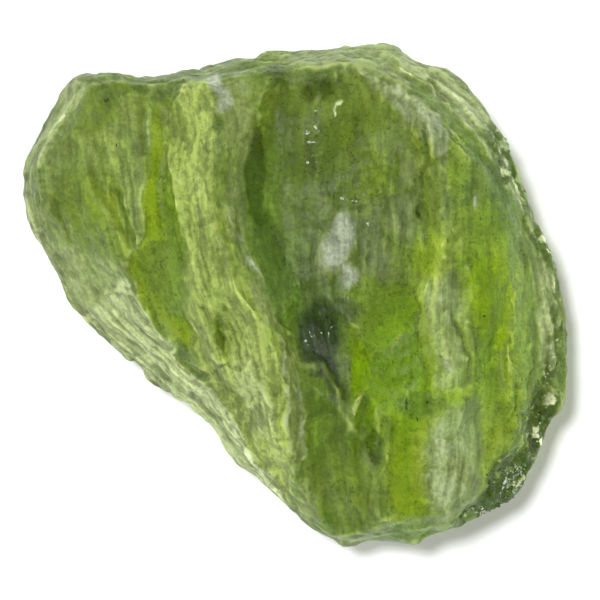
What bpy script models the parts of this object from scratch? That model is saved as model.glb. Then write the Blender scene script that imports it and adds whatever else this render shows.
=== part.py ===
# A raw moldavite: one natural piece of green glass, lying on its broad back.
# X runs across the stone, Y along its flow lines and Z up from the surface it rests on.
# Blender 4.5. Sizes below are in millimetres, and the mesh is written in metres.

import math

import bmesh
import bpy
import numpy as np
from mathutils import Euler, Vector, noise

MM = 0.001
TRIANGLES = 8600
FAR = 1000.0  # how far a ray runs that meets nothing

# The rounded body that everything is cut from
WAIST = 4.6  # height of the widest outline above the resting surface
FRONT_HEIGHT = 7.2
BACK_DEPTH = 4.72
RIM_FULLNESS = 2.7  # 2 is an ellipse; a larger value gives steeper sides
BACK_FULLNESS = 2.15
DISC_SHARE = 0.62  # rays start on a flat disc at the waist, this share of the outline in size
EDGE_WEAR = 0.09  # rounding where two faces meet
SMOOTHINGS = 5  # passes of smoothing over the whole surface, which also wear its edges

# Plan outline, anticlockwise from the right-hand side
OUTLINE = [
    (12.55, 0.0), (12.1, 2.1), (11.45, 4.15), (10.85, 6.25), (9.7, 8.15), (8.3, 9.85), (6.45, 11.2),
    (4.4, 12.1), (2.1, 12.0), (0.0, 11.9), (-2.1, 11.75), (-4.1, 11.2), (-6.3, 10.9), (-8.8, 10.5),
    (-11.25, 9.4), (-12.6, 7.2), (-13.1, 4.75), (-12.35, 2.2), (-11.7, -0.1), (-10.3, -2.0),
    (-8.9, -3.35), (-7.6, -4.45), (-6.2, -5.2), (-5.0, -5.95), (-3.95, -6.85), (-2.85, -7.85),
    (-1.6, -8.95), (0.0, -10.6), (2.15, -12.15), (4.4, -12.05), (6.75, -11.7), (9.1, -10.8),
    (10.95, -9.2), (11.95, -6.9), (12.7, -4.6), (12.85, -2.3),
]

# Faces round the rim and under the stone: a point on the face, the way it faces (degrees
# anticlockwise from +X) and its tilt (0 faces straight up, 90 is a wall, 180 faces straight down)
FACES = {
    "striped_bevel_top": ((-10.25, -2.0, 4.7), 216, 42),
    "striped_bevel": ((-7.65, -4.45, 4.7), 222, 48),
    "striped_bevel_low": ((-2.9, -7.8, 4.7), 222, 58),
    "left_chip": ((-12.2, 8.5, 4.8), 148, 60),
    "left_rim": ((-13.0, 4.7, 4.8), 186, 66),
    "top_left_wall": ((-8.0, 10.75, 4.8), 98, 80),
    "top_bevel": ((0.0, 11.9, 4.8), 93, 71),
    "upper_right_bevel": ((8.3, 9.8, 4.8), 48, 57),
    "right_upper_bevel": ((11.1, 5.2, 4.8), 22, 62),
    "right_bevel": ((12.6, -0.6, 4.8), 4, 56),
    "lower_right_break": ((12.35, -6.8, 4.7), -24, 58),
    "bottom_right_break": ((10.15, -10.45, 4.7), -50, 60),
    "bottom_bevel": ((4.5, -12.1, 4.7), -85, 68),
    "foot_bevel": ((0.4, -10.9, 4.7), -135, 64),
    "back_left": ((-9.0, 2.0, 1.6), 186, 146),
    "back_lower_left": ((-6.4, -4.2, 1.8), 222, 138),
    "back_top": ((-2.0, 9.4, 1.4), 94, 148),
    "back_upper_right": ((8.2, 7.4, 1.7), 45, 142),
    "back_right": ((10.6, -2.0, 1.6), -8, 145),
    "back_bottom": ((4.4, -9.8, 1.5), -84, 143),
}

# The front face is stretched between lines that run from the top edge to the foot. Each is a row
# of points (x, y, z), and the lines are in order from left to right.
FRONT_LINES = {
    "left_margin": [
        (-14.0, 12.0, 5.6), (-14.0, 8.0, 5.8), (-14.0, 4.0, 5.9), (-14.0, 0.0, 5.4),
        (-14.0, -4.0, 4.6), (-14.0, -12.0, 3.0),
    ],
    "leaf_edge": [
        (-7.0, 12.0, 8.0), (-7.0, 9.9, 8.3), (-6.9, 7.0, 8.8), (-7.1, 3.3, 8.9), (-8.1, 1.4, 8.2),
        (-7.6, -0.2, 7.6), (-5.5, -2.8, 7.4), (-4.1, -4.4, 7.4), (-2.4, -6.4, 7.3),
        (-1.8, -7.9, 7.0), (-0.9, -10.2, 6.0), (-0.6, -12.0, 4.8),
    ],
    "leaf_foot": [
        (-6.6, 12.0, 8.0), (-6.7, 9.9, 8.2), (-6.6, 7.0, 8.5), (-6.8, 3.3, 8.4), (-7.7, 1.4, 7.8),
        (-7.2, -0.2, 7.5), (-5.2, -2.8, 7.5), (-3.8, -4.4, 7.55), (-2.1, -6.4, 7.45),
        (-1.55, -7.9, 7.1), (-0.7, -10.2, 6.1), (-0.4, -12.0, 4.9),
    ],
    "slope_fold": [
        (-5.4, 12.0, 8.1), (-5.5, 9.9, 8.6), (-5.4, 7.0, 9.0), (-5.2, 3.3, 9.1), (-5.0, 1.4, 9.0),
        (-4.7, -0.2, 8.8), (-3.9, -2.8, 8.5), (-2.8, -4.4, 8.2), (-1.5, -6.4, 7.9),
        (-1.0, -7.9, 7.4), (-0.4, -10.2, 6.3), (-0.1, -12.0, 5.1),
    ],
    "crest": [
        (-4.5, 12.0, 8.0), (-4.4, 10.3, 8.9), (-3.8, 8.7, 9.5), (-3.45, 6.5, 10.1), (-3.35, 4.1, 10.4),
        (-2.65, 1.8, 10.5), (-1.8, -0.2, 10.4), (-1.05, -1.95, 10.1), (-0.3, -4.55, 9.4),
        (-0.2, -6.5, 8.7), (-0.25, -8.2, 7.9), (-0.1, -10.2, 6.7), (0.2, -12.0, 5.4),
    ],
    "crest_foot": [
        (-3.4, 12.0, 8.0), (-3.2, 10.3, 8.6), (-2.5, 8.7, 8.9), (-2.3, 6.5, 9.2), (-2.2, 4.1, 9.3),
        (-1.5, 1.8, 9.2), (-0.9, -0.2, 9.0), (-0.3, -1.95, 8.8), (0.4, -4.55, 8.6),
        (0.5, -6.5, 8.2), (0.45, -8.2, 7.5), (0.5, -10.2, 6.6), (0.7, -12.0, 5.6),
    ],
    "shell_edge": [
        (1.0, 12.0, 8.2), (1.4, 8.0, 9.0), (1.6, 4.0, 9.2), (1.4, 0.0, 9.0), (1.5, -3.4, 8.8),
        (2.1, -4.9, 8.7), (3.0, -6.5, 8.5), (3.6, -9.6, 7.8), (3.8, -12.0, 6.8),
    ],
    "shell_lip": [
        (1.4, 12.0, 8.2), (1.8, 8.0, 9.1), (2.0, 4.0, 9.3), (1.8, 0.0, 9.2), (1.9, -3.4, 9.2),
        (2.5, -4.9, 9.2), (3.4, -6.5, 9.0), (4.0, -9.6, 8.1), (4.2, -12.0, 7.0),
    ],
    "dome_crown": [
        (5.5, 12.0, 8.0), (6.0, 8.0, 9.2), (6.2, 4.0, 9.6), (6.2, 0.0, 9.8), (6.4, -4.0, 9.7),
        (6.6, -8.0, 8.9), (6.8, -12.0, 7.4),
    ],
    "right_shoulder": [
        (9.0, 12.0, 6.8), (9.4, 7.0, 7.7), (10.0, 3.0, 8.0), (10.6, -1.0, 8.0), (10.4, -5.0, 7.8),
        (9.4, -8.6, 7.3), (8.6, -12.0, 6.6),
    ],
    "right_margin": [
        (14.0, 12.0, 4.0), (14.0, 4.0, 5.6), (14.0, -4.0, 6.0), (14.0, -12.0, 4.0),
    ],
}
# How much the strip to the right of each line sags (or, below zero, swells) at its middle
STRIP_SAG = {
    "left_margin": -0.3, "leaf_edge": 0.0, "leaf_foot": 0.22, "slope_fold": -0.12, "crest": 0.05,
    "crest_foot": 0.25, "shell_edge": 0.0, "shell_lip": -0.12, "dome_crown": -0.25,
    "right_shoulder": -0.1,
}

# Hollows left where flakes broke away and where the soil etched the glass: the deepest point,
# the way the hollow faces, its tilt, then its radii (across, along, deep) and its turn
HOLLOWS = {
    "great_scoop": ((1.9, 4.3, 7.3), 0, 0, (5.5, 7.3, 3.4), 3),
    "dark_pit": ((1.25, -2.0, 7.5), 0, 0, (1.7, 3.4, 1.7), 14),
    "scoop_flute": ((4.6, 6.4, 7.7), 0, 0, (1.3, 4.2, 1.2), -4),
    "scoop_flute_left": ((-0.6, 6.0, 7.5), 0, 0, (1.1, 3.8, 1.0), 6),
    "leaf_furrow": ((-9.0, 5.4, 7.85), 0, 0, (0.6, 3.6, 0.6), 20),
    "thumb_pit": ((-2.9, -2.0, 8.75), 215, 16, (1.0, 1.6, 0.7), 30),
    "notch": ((-5.3, -2.2, 7.3), 215, 14, (0.5, 0.9, 0.5), 0),
    "slot": ((3.6, -7.2, 7.9), 0, 0, (0.5, 2.4, 0.8), 8),
    "right_crack": ((6.0, 4.5, 8.5), 0, 0, (0.4, 4.2, 0.6), 0),
    "right_furrow": ((7.8, -1.4, 8.95), 0, 0, (0.55, 5.0, 0.6), 5),
    "right_furrow_low": ((9.7, -3.2, 7.95), 0, 0, (0.5, 4.6, 0.55), -3),
    "right_chip": ((10.3, 6.2, 6.2), 28, 56, (1.0, 1.7, 0.8), 20),
    "right_chip_low": ((11.2, 3.6, 6.1), 16, 58, (0.9, 1.6, 0.8), 10),
    "corner_chip": ((10.1, -8.6, 5.7), -42, 56, (1.7, 2.6, 1.1), 0),
    "corner_chip_low": ((11.6, -5.4, 5.7), -20, 58, (1.1, 2.4, 0.9), 8),
    "bottom_chip": ((8.2, -10.8, 5.4), -62, 64, (1.3, 1.5, 0.8), 0),
    "foot_chip": ((1.7, -11.6, 5.4), -105, 64, (1.7, 1.1, 0.7), 0),
    "left_chip_hollow": ((-11.9, 8.2, 5.7), 148, 58, (0.9, 2.4, 0.8), 8),
    "left_dent": ((-12.3, 1.6, 5.0), 195, 66, (1.0, 1.5, 0.7), 0),
    "bevel_notch": ((-7.2, -4.1, 4.7), 222, 66, (0.9, 0.8, 0.6), 0),
    "bevel_trough": ((-9.2, -0.6, 5.9), 218, 44, (0.8, 3.0, 0.6), 0),
    "bevel_trough_low": ((-4.2, -5.6, 5.7), 222, 52, (0.7, 3.2, 0.6), 0),
    "top_dent": ((-1.6, 11.6, 5.6), 95, 76, (2.6, 1.6, 0.9), 0),
    "top_dent_right": ((3.6, 11.7, 5.6), 88, 76, (2.4, 1.5, 0.8), 0),
    "upper_right_trough": ((7.3, 8.9, 6.3), 48, 56, (0.9, 3.0, 0.6), 0),
    "back_flake_left": ((-7.4, 4.2, 1.0), 178, 162, (4.4, 6.4, 3.0), 12),
    "back_flake_low": ((-3.6, -3.6, 0.9), 222, 160, (2.8, 4.6, 2.2), 0),
    "back_flake_right": ((7.6, 2.6, 0.95), 4, 160, (3.6, 6.6, 2.8), -8),
    "back_flake_corner": ((6.6, -6.4, 1.0), -48, 156, (3.6, 4.2, 2.2), 0),
    "back_flake_top": ((0.4, 8.4, 1.1), 92, 154, (3.0, 4.6, 2.2), 0),
    "back_groove": ((-2.4, 4.6, 0.35), 0, 180, (0.7, 5.0, 0.7), 6),
    "back_groove_right": ((4.2, 3.8, 0.35), 0, 180, (0.8, 5.4, 0.8), -7),
    "back_pit": ((1.0, -5.4, 0.4), 0, 180, (1.1, 2.0, 1.0), 10),
    "side_flake_right": ((12.0, -1.0, 3.0), -4, 106, (2.0, 4.2, 1.3), 0),
    "side_flake_low": ((5.4, -11.3, 3.0), -86, 106, (1.8, 4.4, 1.3), 0),
    "side_flake_left": ((-11.8, 5.8, 3.0), 172, 108, (1.7, 3.6, 1.2), 0),
    "side_flake_top": ((-3.0, 10.6, 3.0), 96, 108, (1.8, 4.2, 1.2), 0),
}

# No edge on a natural stone is straight: each is bent this much, over about this distance
BEND = 0.55
BEND_WIDTH = 2.4

# Flutes along the flow lines, as (wavelength across, depth): coarse ones first
FLUTES = [(2.3, 0.42), (1.1, 0.26)]
FLUTE_STRETCH = 7.0  # how much longer than wide a flute is
REST_FLATNESS = 0.03  # points this near the resting surface lie on it
REST_BAND = 0.5  # the flutes fade out over this height above the resting surface

GLASS_GREEN = (0.17, 0.27, 0.05, 1.0)


def clear_scene():
    for obj in list(bpy.data.objects):
        bpy.data.objects.remove(obj, do_unlink=True)


def facing(azimuth, tilt):
    """The direction that a face or a hollow looks in."""
    a, t = math.radians(azimuth), math.radians(tilt)
    return np.array([math.cos(a) * math.sin(t), math.sin(a) * math.sin(t), math.cos(t)])


def smooth_curve(known, values, at):
    """A smooth curve through the known points, which are in rising order."""
    slope = np.gradient(values, known)
    i = np.clip(np.searchsorted(known, at, side="right") - 1, 0, len(known) - 2)
    step = known[i + 1] - known[i]
    t = np.clip((at - known[i]) / step, 0, 1)
    h00, h10 = (1 + 2 * t) * (1 - t) ** 2, t * (1 - t) ** 2
    h01, h11 = t * t * (3 - 2 * t), t * t * (t - 1)
    return h00 * values[i] + h10 * step * slope[i] + h01 * values[i + 1] + h11 * step * slope[i + 1]


def outline_radius(angles):
    """Distance from the middle of the plan to its outline."""
    known = np.array([math.atan2(y, x) for x, y in OUTLINE])
    far = np.array([math.hypot(x, y) for x, y in OUTLINE])
    order = np.argsort(known)
    known, far = known[order], far[order]
    known = np.concatenate([known[-3:] - 2 * math.pi, known, known[:3] + 2 * math.pi])
    return smooth_curve(known, np.concatenate([far[-3:], far, far[:3]]), angles)


def body_reach(starts, rays):
    """How far each ray runs inside the rounded body, by halving the stretch that holds its end."""
    low, high = np.zeros(len(rays)), np.full(len(rays), 30.0)
    for _ in range(24):
        reach = (low + high) / 2
        x, y, z = (starts + rays * reach[:, None]).T
        wide = np.hypot(x, y) / outline_radius(np.arctan2(y, x))
        tall = np.abs(z - WAIST) / np.where(z > WAIST, FRONT_HEIGHT, BACK_DEPTH)
        full = np.where(z > WAIST, RIM_FULLNESS, BACK_FULLNESS)
        inside = wide**full + tall**full < 1
        low, high = np.where(inside, reach, low), np.where(inside, high, reach)
    return low


def face_reach(starts, rays, point, azimuth, tilt):
    """How far each ray runs before it meets a face."""
    normal = facing(azimuth, tilt)
    towards = rays @ normal
    return np.where(towards > 1e-4, (point - starts) @ normal / np.maximum(towards, 1e-4), FAR)


def least(values):
    """The least of each column. It is a little less where two are near each other."""
    low = values.min(axis=0)
    return low - EDGE_WEAR * np.log(np.exp((low - values) / EDGE_WEAR).sum(axis=0))


def front_height(x, y):
    """Height of the front face over each point of the plan, between its lines."""
    across, height = [], []
    for line in FRONT_LINES.values():
        xs, ys, zs = np.array(line)[::-1].T
        across.append(smooth_curve(ys, xs, y))
        height.append(smooth_curve(ys, zs, y))
    result = height[0]
    for i, sag in enumerate(list(STRIP_SAG.values())):
        t = np.clip((x - across[i]) / (across[i + 1] - across[i]), 0, 1)
        strip = height[i] + (height[i + 1] - height[i]) * t - 4 * sag * t * (1 - t)
        result = np.where(x > across[i], strip, result)
    return result


def press(points, shift, deepest, azimuth, tilt, radii, turn):
    """Presses the points that lie inside an ellipsoid onto its floor. The shift bends its edge."""
    turned = Euler((0, 0, math.radians(azimuth))).to_matrix()
    turned @= Euler((0, math.radians(tilt), 0)).to_matrix()
    turned @= Euler((0, 0, math.radians(turn - azimuth))).to_matrix()
    turned, radii = np.array(turned), np.array(radii)
    centre = np.array(deepest) + facing(azimuth, tilt) * radii[2]
    local = (points + shift - centre) @ turned / radii
    flat = (local[:, :2] ** 2).sum(axis=1)
    floor = -np.sqrt(np.maximum(1 - flat, 0))
    inside = (flat < 1) & (local[:, 2] > floor)
    local[:, 2] = np.where(inside, floor, local[:, 2])
    return local * radii @ turned.T + centre - shift


def flute_depth(x, y, z, crest_x):
    """Depth of the flutes at a point. Left of the crest they follow it; right of it they straighten."""
    follow = 1 / (1 + math.exp(0.5 * (x - crest_x - 2)))
    across = x - crest_x * follow
    depth = 0.0
    for width, deep in FLUTES:
        place = Vector((across / width, y / (width * FLUTE_STRETCH), z / (2 * width)))
        depth += deep * noise.noise(place)
    return depth


def stone_points(unit):
    """Where the points of a unit sphere go when it is drawn out to the stone's surface."""
    spread = unit * [12.9, 12.0, 5.6]
    around = outline_radius(np.arctan2(spread[:, 1], spread[:, 0]))
    flat = np.maximum(np.hypot(spread[:, 0], spread[:, 1]), 1e-6)
    starts = spread * (DISC_SHARE * around * np.hypot(unit[:, 0], unit[:, 1]) / flat)[:, None]
    starts[:, 2] = WAIST
    rays = spread * [1 - DISC_SHARE, 1 - DISC_SHARE, 1]
    rays /= np.linalg.norm(rays, axis=1)[:, None]
    reaches = [body_reach(starts, rays)]
    reaches += [face_reach(starts, rays, *face) for face in FACES.values()]
    points = starts + rays * least(np.array(reaches))[:, None]
    bends = [noise.noise_vector(Vector(p / BEND_WIDTH)) for p in points]
    shift = BEND * np.array(bends) * [1, 1.5, 0.6]
    front = unit[:, 2] > 0
    height = front_height(points[:, 0] + shift[:, 0], points[:, 1] + shift[:, 1])
    top = least(np.array([points[:, 2], height]))
    points[:, 2] = np.where(front, np.maximum(top, WAIST), points[:, 2])
    for hollow in HOLLOWS.values():
        points = press(points, shift, *hollow)
    return points, rays


def stone_mesh(name):
    """A sphere drawn out to the stone's surface, with its flutes."""
    bm = bmesh.new()
    bmesh.ops.create_icosphere(bm, subdivisions=8, radius=1.0)
    points, rays = stone_points(np.array([v.co for v in bm.verts]))
    crest = np.array(FRONT_LINES["crest"])[::-1]
    crest_x = smooth_curve(crest[:, 1], crest[:, 0], points[:, 1])
    for v, point, ray, crest_at in zip(bm.verts, points, rays, crest_x):
        fade = min(max(point[2] / REST_BAND, 0.0), 1.0)
        v.co = Vector(point + ray * flute_depth(*point, crest_at) * fade) * MM
    for _ in range(SMOOTHINGS):
        bmesh.ops.smooth_vert(
            bm, verts=bm.verts, factor=0.5, use_axis_x=True, use_axis_y=True, use_axis_z=True
        )
    for v in bm.verts:
        v.co.z = max(v.co.z, 0.0)
    mesh = bpy.data.meshes.new(name)
    bm.to_mesh(mesh)
    bm.free()
    return mesh


def thin_out(obj):
    """Brings the mesh down to the wanted number of triangles, as a new mesh without the modifier."""
    decimate = obj.modifiers.new("thin_out", "DECIMATE")
    decimate.ratio = TRIANGLES / len(obj.data.polygons)
    graph = bpy.context.evaluated_depsgraph_get()
    mesh = bpy.data.meshes.new_from_object(obj.evaluated_get(graph))
    obj.modifiers.clear()
    obj.data = mesh


def set_down(mesh):
    """Puts the middle of the plan on the origin and makes the resting spot flat."""
    corners = [v.co for v in mesh.vertices]
    for axis in range(2):
        values = [co[axis] for co in corners]
        middle = (min(values) + max(values)) / 2
        for co in corners:
            co[axis] -= middle
    for co in corners:
        co.z = 0.0 if co.z < REST_FLATNESS * MM else co.z


def glass_material():
    """Clear green glass with an etched, slightly rough skin."""
    material = bpy.data.materials.new("green_glass")
    material.use_nodes = True
    shader = material.node_tree.nodes["Principled BSDF"]
    shader.inputs["Base Color"].default_value = GLASS_GREEN
    shader.inputs["Roughness"].default_value = 0.32
    shader.inputs["IOR"].default_value = 1.49
    shader.inputs["Transmission Weight"].default_value = 0.6
    material.diffuse_color = GLASS_GREEN
    return material


def build():
    clear_scene()
    collection = bpy.data.collections.new("moldavite")
    bpy.context.scene.collection.children.link(collection)
    stone = bpy.data.objects.new("moldavite", stone_mesh("moldavite"))
    stone.data.materials.append(glass_material())
    collection.objects.link(stone)
    thin_out(stone)
    set_down(stone.data)


build()
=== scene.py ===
import math

import bmesh
import bpy
import numpy as np
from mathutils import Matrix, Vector, noise


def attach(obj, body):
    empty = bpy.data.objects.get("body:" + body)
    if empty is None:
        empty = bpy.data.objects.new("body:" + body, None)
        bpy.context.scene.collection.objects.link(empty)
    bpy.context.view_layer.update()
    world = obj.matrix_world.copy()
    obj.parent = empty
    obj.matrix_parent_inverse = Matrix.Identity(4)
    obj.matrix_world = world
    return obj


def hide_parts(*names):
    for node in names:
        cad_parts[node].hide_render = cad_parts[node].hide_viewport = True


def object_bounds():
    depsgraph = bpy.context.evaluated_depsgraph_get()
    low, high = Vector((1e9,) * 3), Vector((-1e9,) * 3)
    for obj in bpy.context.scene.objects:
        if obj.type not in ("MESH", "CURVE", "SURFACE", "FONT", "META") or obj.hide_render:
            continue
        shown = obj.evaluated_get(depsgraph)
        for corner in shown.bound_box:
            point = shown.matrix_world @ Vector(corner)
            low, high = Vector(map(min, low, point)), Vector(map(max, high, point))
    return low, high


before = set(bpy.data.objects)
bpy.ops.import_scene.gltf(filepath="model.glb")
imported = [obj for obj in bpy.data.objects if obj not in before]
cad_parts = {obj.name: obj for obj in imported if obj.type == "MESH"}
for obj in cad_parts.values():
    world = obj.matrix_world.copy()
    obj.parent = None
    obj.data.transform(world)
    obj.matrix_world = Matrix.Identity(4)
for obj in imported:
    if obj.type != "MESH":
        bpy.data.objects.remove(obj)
cadBox = [list(corner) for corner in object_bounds()]
mm = 0.001


# Small tools that the pieces share

def softStep(low, high, value):
    t = np.clip((value - low) / (high - low), 0, 1)
    return t * t * (3 - 2 * t)


def noiseAt(places, seed=0.0):
    return np.array([noise.noise(Vector(p) + Vector((seed, -seed, 2 * seed))) for p in places])


def meshPoints(mesh):
    points = np.empty(len(mesh.vertices) * 3, np.float32)
    mesh.vertices.foreach_get("co", points)
    return points.reshape(-1, 3).astype(float) / mm


def meshNormals(mesh):
    normals = np.empty(len(mesh.vertices) * 3, np.float32)
    mesh.vertex_normals.foreach_get("vector", normals)
    return normals.reshape(-1, 3).astype(float)


def placePoints(mesh, points):
    mesh.vertices.foreach_set("co", (points * mm).astype(np.float32).ravel())
    mesh.update()


def lineDistance(points, path):
    # Distance in plan from each point to a line of points, which side it is on (left is above zero)
    # and how far along the line it lies, from 0 to 1
    best, side, place = np.full(len(points), 1e9), np.zeros(len(points)), np.zeros(len(points))
    for i, (start, end) in enumerate(zip(path, path[1:])):
        start, along = np.array(start), np.array(end) - np.array(start)
        share = np.clip((points[:, :2] - start) @ along / (along @ along), 0, 1)
        gap = points[:, :2] - start - share[:, None] * along
        far = np.hypot(gap[:, 0], gap[:, 1])
        nearer = far < best
        cross = along[0] * gap[:, 1] - along[1] * gap[:, 0]
        side = np.where(nearer, np.sign(cross), side)
        place = np.where(nearer, (i + share) / (len(path) - 1), place)
        best = np.where(nearer, far, best)
    return best, side, place


def areaDepth(points, outline):
    # How far inside a closed outline each point is in plan, below zero outside it
    closed = outline + outline[:1]
    far, _, _ = lineDistance(points, closed)
    inside = np.zeros(len(points), bool)
    for (x1, y1), (x2, y2) in zip(closed, closed[1:]):
        if y1 == y2:
            continue
        crosses = (y1 > points[:, 1]) != (y2 > points[:, 1])
        inside ^= crosses & (points[:, 0] < x1 + (x2 - x1) * (points[:, 1] - y1) / (y2 - y1))
    return np.where(inside, far, -far)


# The stone: its solid made fine, worn round and carved along its flow lines

stone = dict(
    name="moldaviteStone",
    longestEdge=0.166,    # on the front, edges longer than this are divided
    frontTilt=0.15,       # how far up a face must look to count as front
    finerPasses=3,
    wearPasses=4,
    calmPasses=45,        # more wear where the clear windows are
    # The clear windows, and how clear the back is under each
    windows=dict(window=0.3, windowLow=0.3, windowRight=1.0),
    underWindow=(-0.9, 0.6),
    crest=[(-4.5, 12.0), (-4.3, 10.3), (-3.7, 8.7), (-3.3, 4.1), (-2.6, 1.8), (-1.0, -2.0),
           (-0.2, -4.6), (-0.2, -8.2), (-0.1, -10.2), (0.2, -12.0)],
    # Flow lines as (width, height, how much longer than wide)
    flow=[(0.9, 0.07, 9.0), (0.42, 0.08, 11.0), (0.22, 0.05, 12.0)],
    rimFlow=[(0.7, 0.14, 9.0), (0.34, 0.12, 11.0), (0.2, 0.05, 12.0)],
    grain=[(0.5, 0.04), (0.2, 0.03)],
    rimGrain=[(1.1, 0.14), (0.45, 0.07)],
    pits=dict(width=1.5, depth=0.28, stretch=1.7, below=(4.2, 3.0), rim=0.55, floor=0.1),
    keptFlat=0.35,        # below this height the carving fades out, so the flat spot stays flat
    # How far the flow lines and the edges of patches are bent, over what width
    flowBends=[(0.16, 1.6), (0.05, 0.5)],
    patchBends=[(0.42, 2.2), (0.20, 0.7), (0.07, 0.25)],
    rimNames=("stripedBevel", "topBevel", "upperRightBevel", "rightBevel", "leftChip", "outerBreak"),
)

# Where the outline is pulled back to the real one after the wear: middle, radius, shift in plan
nudges = {
    "topLeftCorner": ((-10.3, 10.4), 0.6, (-0.05, 0.26)),
    "leftChip": ((-12.1, 8.7), 1.0, (0.20, -0.13)),
    "topLeftEdge": ((-7.9, 10.9), 1.1, (0.0, -0.28)),
    "rightBreakEdge": ((12.6, -5.2), 0.5, (0.32, -0.05)),
    "topEdgeStep": ((-4.4, 11.2), 0.7, (0.0, -0.30)),
}

# Small broken facets: their size, how much they slant, which share of them is bright or dark (by a
# number from 0 to 1), and where they lie as middle, half sizes, turn and strength. Bright facets get
# a painted glint and dark facets painted shade
chips = dict(
    size=0.42,
    slant=0.8,
    bright=0.87,
    dark=0.3,
    gleams=0.75,
    facetShade=0.8,
    places=[((11.9, -5.4), (0.8, 2.4), -14, 1.0), ((10.6, -9.0), (1.5, 2.0), -38, 1.0),
            ((8.9, -10.8), (1.8, 0.6), 14, 0.9), ((12.5, -1.4), (0.4, 3.0), 0, 0.6),
            ((11.7, 2.9), (0.5, 2.2), 20, 0.7), ((10.1, 6.6), (0.7, 2.2), 26, 0.8)],
)

# Ridges and steps that stand on the front: line, height, width, and how much higher the left side is
carvedLines = {
    "leafVein": ([(-10.1, 7.5), (-9.4, 5.4), (-8.3, 2.4)], 0.05, 0.16, 0.0),
    "leafVeinRight": ([(-9.1, 8.0), (-8.9, 6.3), (-8.8, 4.5)], 0.04, 0.14, 0.0),
    "leafVeinMiddle": ([(-9.6, 7.7), (-9.1, 5.9), (-8.8, 4.6)], 0.04, 0.12, 0.0),
    "bladeEdge": ([(-7.0, 8.6), (-6.8, 6.7), (-7.0, 4.8), (-7.1, 3.2), (-8.0, 1.5)], 0.05, 0.16, 0.0),
    "valleyFibre": ([(-6.3, 8.8), (-5.9, 7.0), (-5.7, 5.3), (-5.3, 2.6)], 0.10, 0.16, 0.0),
    "crestLine": ([(-3.9, 8.7), (-3.45, 6.5), (-3.3, 4.1), (-2.6, 1.8), (-1.8, -0.2), (-1.0, -2.0)],
                  0.10, 0.2, 0.0),
    "crestEdge": ([(-3.3, 4.3), (-2.5, 2.6), (-1.8, 1.1), (-1.4, 0.2)], 0.10, 0.18, 0.0),
    "crescentLine": ([(-0.8, -2.2), (-0.4, -3.6), (-0.2, -5.1), (-0.3, -6.2), (-0.2, -7.9), (0.0, -10.1)],
                     0.12, 0.18, 0.0),
    "crescentLineRight": ([(-0.5, -2.6), (0.1, -3.9), (0.4, -5.4), (0.4, -7.4), (0.1, -8.5)],
                          0.10, 0.16, 0.1),
    "foldLight": ([(-1.9, -3.7), (-1.1, -5.2), (-0.9, -6.6), (-0.5, -7.1)], 0.08, 0.16, -0.08),
    "fineCrack": ([(-3.8, -3.6), (-3.2, -3.4), (-2.5, -3.5)], -0.10, 0.10, 0.0),
    "longCrack": ([(5.9, 8.0), (6.0, 5.6), (6.2, 4.8), (6.1, 3.5), (5.9, 2.3)], -0.22, 0.13, 0.0),
    "shellRim": ([(-0.1, -2.9), (0.8, -3.2), (1.3, -3.0), (2.0, -4.3), (2.4, -5.4), (3.0, -6.7)],
                 0.14, 0.22, -0.15),
    "stripeOne": ([(5.7, 0.1), (5.8, -2.2), (6.2, -4.7)], -0.12, 0.10, 0.0),
    "stripeTwo": ([(7.5, -0.7), (7.8, -2.4), (8.1, -3.9)], -0.16, 0.14, 0.0),
    "stripeFour": ([(10.1, -2.1), (10.2, -2.7), (10.4, -3.2)], -0.14, 0.10, 0.0),
    "stripeFive": ([(10.3, -4.0), (10.4, -5.1), (10.2, -6.3)], -0.16, 0.10, 0.0),
    "stripeSix": ([(11.1, -3.4), (11.1, -5.1), (10.8, -6.5)], -0.14, 0.12, 0.0),
    "slotWall": ([(4.3, -6.2), (4.3, -7.4), (4.2, -8.8)], 0.10, 0.12, 0.0),
    "bevelInner": ([(-8.0, 1.4), (-6.9, -1.1), (-6.2, -2.3), (-4.8, -3.9), (-3.3, -5.4), (-2.3, -6.6),
                    (-1.7, -7.8), (-0.1, -10.3)], 0.12, 0.2, 0.0),
    "scoopTop": ([(-3.2, 10.9), (0.5, 10.9), (2.0, 10.7), (3.9, 10.1), (5.6, 9.0), (7.0, 8.4),
                  (7.8, 6.3)], 0.12, 0.2, 0.0),
    "upperStep": ([(4.8, 11.0), (6.0, 10.0), (7.2, 8.8)], 0.12, 0.16, 0.0),
    "upperStepRight": ([(6.5, 10.4), (7.9, 9.2), (9.1, 7.8)], 0.12, 0.16, 0.0),
    "upperRightInner": ([(7.8, 8.3), (9.8, 5.6), (11.0, 3.8), (12.2, 2.3)], 0.12, 0.2, 0.0),
}
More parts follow.
